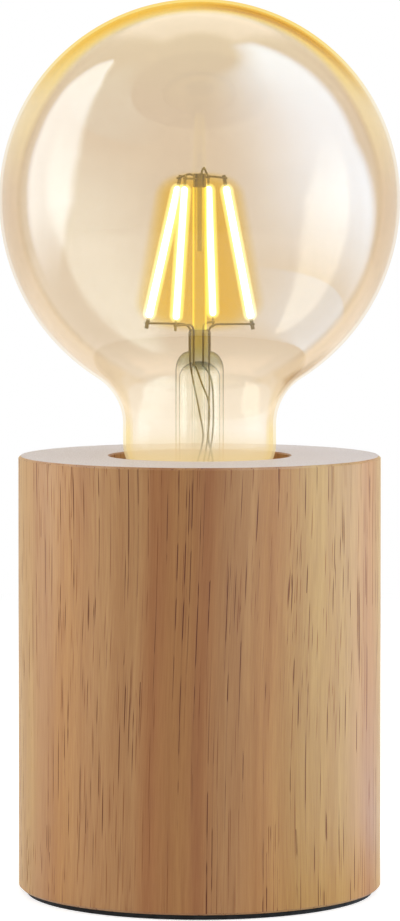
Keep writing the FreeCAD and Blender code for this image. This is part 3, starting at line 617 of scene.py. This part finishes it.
def build_globe():
    """Blown glass: the outer face down to the rim and the inner face back up."""
    outline = np.concatenate([glass_outline(0), glass_outline(GLASS_T)[::-1]])
    points, faces = turned(outline, GLASS_SEGMENTS)
    finish = amber_glass_finish()
    return piece("globe_glass", points, faces, "bulb", finish, ["glass_envelope"])


def build_stem(finish):
    """Flared tube whose sections pass over a domed shoulder, a quarter ellipse, to the
    flat pinch, with its bore below."""
    pinch_z = PINCH_TOP - PINCH_H
    tube_z = pinch_z - DOME_H
    flare = np.linspace(0, 1, 12)
    flare_x = STEM_R + (FLARE_R - STEM_R) * (1 - np.sin(flare * math.pi / 2))
    flare_z = RIM_Z + flare * FLARE_H
    turn = np.linspace(0, math.pi / 2, 16)[1:]
    dome_x = PINCH_HALF[0] + (STEM_R - PINCH_HALF[0]) * np.cos(turn)
    dome_y = PINCH_HALF[1] + (STEM_R - PINCH_HALF[1]) * np.cos(turn)
    power = 2 + (PINCH_POWER - 2) * (1 - np.cos(turn))
    lip = np.linspace(0, math.pi / 2, 6)
    round_in = 1.0 * MM * (1 - np.cos(lip))
    round_up = 1.0 * MM * (np.sin(lip) - 1)
    bore = STEM_R - STEM_T
    cave = np.linspace(0, math.pi / 2, 10)
    cave_r = bore * np.cos(cave)
    cave_z = tube_z - CAVITY_ROOM + np.sin(cave) * 4.5 * MM
    half_x = np.concatenate([flare_x, [STEM_R], dome_x, PINCH_HALF[0] - round_in, [0.0]])
    half_y = np.concatenate([flare_x, [STEM_R], dome_y, PINCH_HALF[1] - round_in, [0.0]])
    sharp = np.concatenate([2 + 0 * flare, [2.0], power, PINCH_POWER + 0 * lip, [PINCH_POWER]])
    height = np.concatenate(
        [flare_z, [tube_z], tube_z + np.sin(turn) * DOME_H, PINCH_TOP + round_up, [PINCH_TOP]]
    )
    inner_x = np.concatenate([cave_r[::-1], (flare_x - STEM_T)[::-1]])
    inner_z = np.concatenate([cave_z[::-1], flare_z[::-1]])
    order = slice(None, None, -1)
    half_x = np.concatenate([half_x[order], inner_x[order]])
    half_y = np.concatenate([half_y[order], inner_x[order]])
    sharp = np.concatenate([sharp[order], 2 + 0 * inner_x])
    height = np.concatenate([height[order], inner_z[order]])
    points, faces = ringed(half_x, half_y, sharp, height, 72)
    return piece("stem", points, faces, "bulb", finish, ["stem_glass"])


def rod_profile(radius, length):
    """Shares of the length and radii of a rod with quarter-circle ends."""
    cap = np.linspace(0, math.pi / 2, 7)
    share = radius / length * (1 - np.cos(cap))
    ends = np.stack([share, radius * np.sin(cap)], 1)
    return np.concatenate([ends, (ends * (-1, 1) + (1, 0))[::-1]])


def build_filaments():
    """Four coated rods with rounded ends, the soft light round each, and the golden
    light between them, an outline turned about the axis."""
    feet = polar(FOOT_R, FOOT_AZIMUTHS, FOOT_Z)
    heads = polar(HEAD_R, HEAD_AZIMUTHS, HEAD_Z)
    run = heads - feet
    length = np.linalg.norm(run, axis=1).mean()
    points, faces = rods(feet, heads, rod_profile(FILAMENT_R, length), 20)
    coat = filament_finish()
    lit = piece("lit_filaments", points, faces, "bulb", coat, ["led_filaments"])
    spill = run / length * HALO_SPILL
    points, faces = rods(feet - spill, heads + spill, rod_profile(HALO_R, length), 24)
    halo = piece("filament_halos", points, faces, "bulb", halo_finish())
    low, high = FOOT_Z - GLOW_SPILL[0], HEAD_Z + GLOW_SPILL[1]
    outline = np.concatenate([
        [(0.0, high)], arc((GLOW_R[1] - GLOW_EDGE, high - GLOW_EDGE), GLOW_EDGE, 90, 8, 20),
        arc((GLOW_R[0] - GLOW_EDGE, low + GLOW_EDGE), GLOW_EDGE, 8, -90, 20), [(0.0, low)],
    ])
    points, faces = turned(outline, 64)
    glow = piece("warm_glow", points, faces, "bulb", warm_glow_finish())
    for thing in (lit, halo, glow):
        thing.visible_diffuse = thing.visible_glossy = thing.visible_shadow = False


def wire(points, radius, side, count=40, segments=10):
    """Points and quads of a round wire along a smooth curve through the points: four
    neighbours are blended by the Catmull-Rom weights. A ring lies square to the
    curve, on a side direction that the curve never follows."""
    held = np.array([points[0]] + list(points) + [points[-1]])
    place = np.linspace(0, len(points) - 1, count)
    k = np.minimum(place.astype(int), len(points) - 2)
    t = (place - k)[:, None]
    a, b, c, d = held[k], held[k + 1], held[k + 2], held[k + 3]
    line = 0.5 * (2 * b + (c - a) * t + (2 * a - 5 * b + 4 * c - d) * t**2 + (3 * b - a - 3 * c + d) * t**3)
    along = np.gradient(line, axis=0)
    along /= np.linalg.norm(along, axis=1, keepdims=True)
    first = np.array(side) - along * (along @ np.array(side))[:, None]
    first /= np.linalg.norm(first, axis=1, keepdims=True)
    second = np.cross(along, first)
    angle = np.linspace(0, 2 * math.pi, segments, endpoint=False)[None, :, None]
    tube = line[:, None] + radius * (np.cos(angle) * first[:, None] + np.sin(angle) * second[:, None])
    start, end = (np.repeat(tip[:, None], segments, 1) for tip in (line[:1], line[-1:]))
    rings = np.concatenate([start, tube, end])
    return rings.reshape(-1, 3), grid_faces(len(rings), segments)


def joined(parts):
    """Several (points, quads) pairs as one."""
    starts = np.cumsum([0] + [len(points) for points, faces in parts[:-1]])
    points = np.concatenate([points for points, faces in parts])
    return points, np.concatenate([faces + start for (_, faces), start in zip(parts, starts)])


def threaded(radius, height, crest, cut, pitch, segments):
    """Points and quads of a closed outline turned about the axis with a round
    right-hand thread: the radius is held under the crest less the cut times a wave,
    half of 1 less the cosine of the height in pitches less the turn."""
    angle = np.linspace(0, 2 * math.pi, segments, endpoint=False)
    wave = 0.5 - 0.5 * np.cos(2 * math.pi * height[:, None] / pitch - angle)
    reach = np.minimum(radius[:, None], crest[:, None] - cut[:, None] * wave)
    points = np.stack([reach * np.cos(angle), reach * np.sin(angle), height[:, None] + 0 * angle], -1)
    return points.reshape(-1, 3), grid_faces(len(height), segments, True)


def run_out(height, low, high, length):
    """1 between two heights, falling to 0 over a length inside each."""
    return np.clip((height - low) / length, 0, 1) * np.clip((high - height) / length, 0, 1)


def build_cap(finish):
    """Thin cap sleeve with its rolled thread, from the bottom cone to the belled rim."""
    low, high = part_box("cap_shell")[0].z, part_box("cap_shell")[1].z
    cone, bell = low + 3.2 * MM, high - 2.5 * MM
    barrel = np.linspace(cone, bell, 58)
    slope = np.linspace(0, 1, 12)[:-1]
    taper = CAP_LIP_R + (CAP_R - CAP_LIP_R) * slope
    outer_r = np.concatenate([taper, CAP_R + 0 * barrel, [CAP_R + 0.5 * MM]])
    outer_z = np.concatenate([low + (cone - low) * slope, barrel, [high]])
    inner_r = np.concatenate([[CAP_R + 0.1 * MM], CAP_R - CAP_T + 0 * barrel, [CAP_LIP_R]])
    down = barrel[::-1]
    inner_z = np.concatenate([[high], down + 0.2 * MM * (down < cone + MM), [low + 0.5 * MM]])
    radius, height = np.concatenate([outer_r, inner_r]), np.concatenate([outer_z, inner_z])
    outside = np.arange(len(radius)) < len(outer_r)
    threads = np.clip((CEMENT_Z - height) / MM, 0, 1)
    cut = np.where(outside, THREAD_CUT, 0.12 * MM) * threads
    crest = np.where(outside, np.maximum(CAP_R, radius), radius)
    points, faces = threaded(radius, height, crest, cut, SCREW_PITCH, 96)
    return piece("rolled_cap", points, faces, "bulb", finish, ["cap_shell"], 60.0)


def build_screw_shell(finish):
    """Thin brass shell with the matching thread and a turned-in flange."""
    low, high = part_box("screw_shell")[0].z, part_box("screw_shell")[1].z
    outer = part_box("screw_shell")[1].x
    wall = np.linspace(low + SHELL_T, high, 88)
    inner = outer - SHELL_T + 0 * wall
    radius = np.concatenate([[outer], outer + 0 * wall, inner, [FLANGE_BORE, FLANGE_BORE]])
    height = np.concatenate([[low], wall, wall[::-1], [low + SHELL_T, low]])
    cut = THREAD_CUT * run_out(height, low + 1 * MM, CEMENT_Z - 0.2 * MM, 1.0 * MM)
    points, faces = threaded(radius, height, radius, cut, SCREW_PITCH, 96)
    return piece("rolled_shell", points, faces, "lamp_base", finish, ["screw_shell"], 60.0)


def build_nipple(finish):
    """Hollow tube with a fine outside thread."""
    low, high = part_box("threaded_nipple")[0].z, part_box("threaded_nipple")[1].z
    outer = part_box("threaded_nipple")[1].x
    wall = np.linspace(low, high, 230)
    radius = np.concatenate([outer + 0 * wall, [NIPPLE_BORE, NIPPLE_BORE]])
    height = np.concatenate([wall, [high, low]])
    cut = np.where(radius > NIPPLE_BORE, 0.3 * MM, 0.0)
    points, faces = threaded(radius, height, radius, cut, 1.0 * MM, 48)
    return piece(
        "fine_nipple", points, faces, "lamp_base", finish, ["threaded_nipple"], 60.0
    )


def build_arms(finish):
    """Stiff wires that rise out of the pinch and bend out to the filaments' feet. A
    path is (distance from the axis, height over the pinch) in millimetres."""
    parts = []
    for azimuth, inner in zip(FOOT_AZIMUTHS, ARM_ROOTS):
        out = polar(1.0, [azimuth], 0.0)[0]
        side = np.cross(out, (0.0, 0.0, 1.0))
        path = [(inner, -9.8), (inner, -4.0), (inner, -0.6), (inner + 0.5, 0.75), (inner + 2.0, 1.45),
                (inner + 4.5, 1.55), (FOOT_R / MM - 2.0, 1.62), (FOOT_R / MM + 1.05, 1.6)]
        points = [out * r * MM + np.array((0, 0, PINCH_TOP + z * MM)) for r, z in path]
        parts.append(wire(points, ARM_R, side, 60))
    points, faces = joined(parts)
    return piece("bent_arms", points, faces, "bulb", finish, ["lower_arms"], 60.0)


def build_star(finish):
    """Short wires that bow up from the crimp and over to the filaments' heads. A path is
    (distance from the axis, height over the heads) in millimetres."""
    parts = []
    for azimuth, bow in zip(HEAD_AZIMUTHS, STAR_BOWS):
        out = polar(1.0, [azimuth], 0.0)[0]
        path = [(0.6, 1.9), (2.0, 2.2 + bow * 0.7), (3.6, 2.3 + bow), (5.6, 2.2 + bow * 0.5), (7.75, 2.1)]
        points = [out * r * MM + np.array((0, 0, HEAD_Z + z * MM)) for r, z in path]
        parts.append(wire(points, ARM_R, np.cross(out, (0.0, 0.0, 1.0)), 30))
    points, faces = joined(parts)
    return piece("star_arms", points, faces, "bulb", finish, ["upper_arms"], 60.0)


def build_leads(finish):
    """Thin wires that wander down the stem round the exhaust tube to the driver."""
    parts = [wire(np.array(points) * MM, LEAD_R, (0.0, 1.0, 0.0), 60, 8) for points in LEADS]
    points, faces = joined(parts)
    return piece("wandering_leads", points, faces, "bulb", finish, ["lead_wires"], 60.0)


# ---------------------------------------------------------------- carried-over pieces
def dress(finish, *names):
    """Gives CAD pieces a finish."""
    for name in names:
        mesh = NODES[name].data
        mesh.materials.clear()
        mesh.materials.append(finish)


def dress_all():
    """Finishes of the pieces that keep their CAD shape, by name: a dark and a pale tone,
    the noise scale, the roughness, anything else, and the pieces."""
    plain = {
        "foot_rubber": ((0.003, 0.003, 0.003), (0.007, 0.007, 0.007), 300.0, 0.85, {}, ["base_pad"]),
        "black_plastic": ((0.012, 0.012, 0.013), (0.020, 0.020, 0.021), 400.0, 0.42, {},
                          ["cable_grommet", "holder_cap", "holder_skirt"]),
        "nipple_steel": ((0.30, 0.30, 0.29), (0.50, 0.50, 0.48), 500.0, 0.34, {"metallic": 1.0},
                         ["nipple_washer", "nipple_nut", "grub_screw", "terminal_screws"]),
        "contact_brass": ((0.60, 0.40, 0.14), (0.74, 0.54, 0.22), 350.0, 0.32, {"metallic": 1.0},
                          ["contact_rivets", "contact_foot", "centre_contact", "terminal_clamps"]),
        "block_ceramic": ((0.70, 0.68, 0.60), (0.80, 0.78, 0.71), 500.0, 0.55, {}, ["contact_block"]),
        "tip_solder": ((0.36, 0.36, 0.36), (0.48, 0.48, 0.47), 900.0, 0.45, {"metallic": 1.0},
                       ["tip_contact"]),
        "cap_nickel": ((0.55, 0.54, 0.50), (0.68, 0.66, 0.62), 500.0, 0.24, {"metallic": 1.0}, []),
        "cap_glass_black": ((0.008, 0.008, 0.010), (0.016, 0.016, 0.018), 600.0, 0.18, {},
                            ["cap_insulator"]),
        "cement": ((0.38, 0.33, 0.26), (0.50, 0.45, 0.37), 1500.0, 0.9, {"depth": 0.2 * MM},
                   ["cap_cement"]),
        "board_green": ((0.62, 0.61, 0.54), (0.72, 0.71, 0.64), 900.0, 0.5, {}, ["driver_board"]),
        "part_black": ((0.012, 0.012, 0.012), (0.022, 0.022, 0.022), 900.0, 0.5, {}, ["driver_chips"]),
        "capacitor_can": ((0.05, 0.05, 0.08), (0.09, 0.09, 0.13), 700.0, 0.35, {"metallic": 0.3},
                          ["driver_capacitor"]),
        "mount_metal": ((0.22, 0.16, 0.003), (0.34, 0.25, 0.006), 1500.0, 0.7, {},
                        ["support_pin", "post_crimp", "filament_tabs"]),
    }
    made = {}
    for name, (dark, pale, scale, roughness, more, pieces) in plain.items():
        made[name] = plain_finish(name, dark, pale, scale, roughness, **more)
        dress(made[name], *pieces)
    dress(wood_finish(), "wood_base")
    return made


# ---------------------------------------------------------------- stage
def sees_background(tree):
    """Socket that is 1 for camera, glossy and transmission rays and 0 for the rest."""
    path = tree.nodes.new("ShaderNodeLightPath")
    total = path.outputs["Is Camera Ray"]
    for name in ("Is Glossy Ray", "Is Transmission Ray"):
        made = tree.nodes.new("ShaderNodeMath")
        made.operation = "ADD"
        made.use_clamp = True
        tree.links.new(total, made.inputs[0])
        tree.links.new(path.outputs[name], made.inputs[1])
        total = made.outputs[0]
    return total


def build_world():
    """White surroundings, dimmer for the light that they cast."""
    world = bpy.data.worlds.new("studio")
    bpy.context.scene.world = world
    world.use_nodes = True
    tree = world.node_tree
    back = tree.nodes["Background"]
    back.inputs["Color"].default_value = (1.0, 1.0, 1.0, 1.0)
    strength = tree.nodes.new("ShaderNodeMapRange")
    strength.inputs["To Min"].default_value = 0.55
    strength.inputs["To Max"].default_value = 1.0
    tree.links.new(sees_background(tree), strength.inputs["Value"])
    tree.links.new(strength.outputs[0], back.inputs["Strength"])


def build_floor():
    """White floor that keeps the lamp's shadow, and is seen as plain white farther out,
    where the studio lamps stand close over it."""
    f = Finish("floor")
    seen = sees_background(f.tree)
    lift = f.add("MapRange", Value=seen, To_Min=0.0, To_Max=0.527)
    near = f.add(
        "BsdfPrincipled", Base_Color=(0.86, 0.86, 0.86), Roughness=1.0, Specular_IOR_Level=0.0,
        Emission_Color=(1.0, 1.0, 1.0), Emission_Strength=lift.outputs[0],
    )
    reach = f.add("VectorMath", {"operation": "LENGTH"})
    f.join(reach.inputs[0], f.place)
    far = f.math("MULTIPLY", seen, f.step(reach.outputs["Value"], 0.5, 0.8))
    corners = [(-FLOOR_HALF, -FLOOR_HALF, 0), (FLOOR_HALF, -FLOOR_HALF, 0),
               (FLOOR_HALF, FLOOR_HALF, 0), (-FLOOR_HALF, FLOOR_HALF, 0)]
    mesh = bpy.data.meshes.new("floor")
    mesh.from_pydata(corners, [], [(0, 1, 2, 3)])
    floor = bpy.data.objects.new("floor", mesh)
    bpy.context.scene.collection.objects.link(floor)
    mesh.materials.append(f.out(f.blend(far, near.outputs[0], f.lit((1.0, 1.0, 1.0), 1.0))))


def aim(thing, place, target):
    """Places a thing so that its -Z side faces the target."""
    thing.location = place
    thing.rotation_euler = (Vector(target) - Vector(place)).to_track_quat("-Z", "Y").to_euler()


def build_lamp(name, place, size, power):
    """Soft studio lamp aimed at the object."""
    light = bpy.data.lights.new(name, "AREA")
    light.shape = "RECTANGLE"
    light.size, light.size_y = size
    light.energy = power
    lamp = bpy.data.objects.new(name, light)
    bpy.context.scene.collection.objects.link(lamp)
    aim(lamp, place, (0, 0, 0.12))
    lamp.visible_glossy = False
    return lamp


def build_reflector(name, rows, strength, soft, colour=(0.47, 0.70, 1.0)):
    """Bright curved panel round the object that only mirrors see. Each row gives a
    height, a radius and two azimuths, and the surface runs straight from row to row and
    round the axis between the azimuths. It fades within a soft border."""
    share = np.linspace(0, 1, PANEL_STEPS)
    known = np.array(rows, float)
    marks = np.linspace(0, 1, len(known))
    up, reach, first, last = (np.interp(share, marks, column) for column in known.T)
    angle = np.radians(first + share[:, None] * (last - first))
    points = np.stack([reach * np.cos(angle), reach * np.sin(angle), up + 0 * angle], -1).reshape(-1, 3)
    i, j = np.meshgrid(np.arange(PANEL_STEPS - 1), np.arange(PANEL_STEPS - 1), indexing="ij")
    faces = (i * PANEL_STEPS + j).reshape(-1, 1) + np.array([[0, 1, PANEL_STEPS + 1, PANEL_STEPS]])
    mesh = bpy.data.meshes.new(name)
    mesh.from_pydata(points.tolist(), [], faces.tolist())
    layer = mesh.uv_layers.new(name="spread")
    loops = np.zeros(len(mesh.loops), int)
    mesh.loops.foreach_get("vertex_index", loops)
    uv = np.stack(np.meshgrid(share, share, indexing="ij"), -1).reshape(-1, 2)
    layer.data.foreach_set("uv", uv[loops].astype(np.float32).ravel())
    f = Finish(name)
    spot = f.add("SeparateXYZ", Vector=f.add("TexCoord").outputs["UV"])
    shine = 1.0
    for axis, near, far in (("X", soft[0], soft[1]), ("Y", soft[2], soft[3])):
        shine = f.math("MULTIPLY", shine, f.step(spot.outputs[axis], 0.0, near))
        shine = f.math("MULTIPLY", shine, f.step(spot.outputs[axis], 1.0 - far, 1.0, 1.0, 0.0))
    mesh.materials.append(f.out(f.blend(shine, f.clear((1.0, 1.0, 1.0)), f.lit(colour, strength))))
    panel = bpy.data.objects.new(name, mesh)
    bpy.context.scene.collection.objects.link(panel)
    for ray in ("camera", "diffuse", "transmission", "volume_scatter", "shadow"):
        setattr(panel, "visible_" + ray, False)


def build_camera():
    """Camera of the photograph: nearly level, with its lens shifted down."""
    data = bpy.data.cameras.new("camera")
    data.sensor_fit = "AUTO"
    data.sensor_width = SENSOR
    data.lens = CAMERA_F / FRAME_H * SENSOR
    data.shift_x = AXIS_OFF / FRAME_H
    data.shift_y = LENS_SHIFT / FRAME_H
    data.clip_end = 100.0
    camera = bpy.data.objects.new("camera", data)
    bpy.context.scene.collection.objects.link(camera)
    camera.location = (0, -CAMERA_BACK, CAMERA_HEIGHT)
    camera.rotation_euler = (math.radians(90 - CAMERA_DROP), 0, 0)
    bpy.context.scene.camera = camera


# ---------------------------------------------------------------- making
build_camera()
build_world()
build_floor()
build_lamp("left_lamp", (-1.25, -0.15, 0.45), (0.6, 1.1), 11.0)
build_lamp("right_lamp", (1.25, -0.25, 0.45), (0.8, 1.1), 13.0)
build_reflector(
    "left_panel",
    [(0.0, 0.3, 160, 170), (0.10, 0.3, 160, 192), (0.19, 0.3, 160, 203), (0.30, 0.3, 157, 203),
     (0.42, 0.3, 150, 194), (0.54, 0.3, 150, 181), (0.645, 0.3, 155, 158)],
    6.6, (0.12, 0.20, 0.35, 0.03), (0.66, 0.80, 0.94),
)
build_reflector(
    "right_panel",
    [(-0.05, 0.3, -84, 40), (0.30, 0.3, -86, 18), (0.50, 0.3, -90, 30), (0.85, 0.3, -90, 48),
     (1.5, 0.3, -90, 48)],
    8.4, (0.75, 0.10, 0.2, 0.3),
)
build_reflector(
    "right_foot", [(0.004, 0.08, -70, 48), (0.004, 0.3, -70, 44)], 3.8, (0.5, 0.15, 0.3, 0.01)
)
build_reflector(
    "top_panel", [(0.50, 0.3, 45, 135), (1.3, 0.3, 30, 150)], 2.5, (0.2, 0.2, 0.05, 0.5), (1.0, 1.0, 1.0)
)
finishes = dress_all()
build_cap(finishes["cap_nickel"])
build_screw_shell(finishes["contact_brass"])
build_nipple(finishes["nipple_steel"])
build_globe()
lead_glass = stem_glass_finish()
build_stem(lead_glass)
dress(lead_glass, "exhaust_tube")
dress(post_glass_finish(), "centre_post")
build_filaments()
for build_wires in (build_arms, build_star, build_leads):
    build_wires(finishes["mount_metal"])

scene = bpy.context.scene
scene.view_settings.view_transform = "Standard"
scene.cycles.transparent_max_bounces = 32
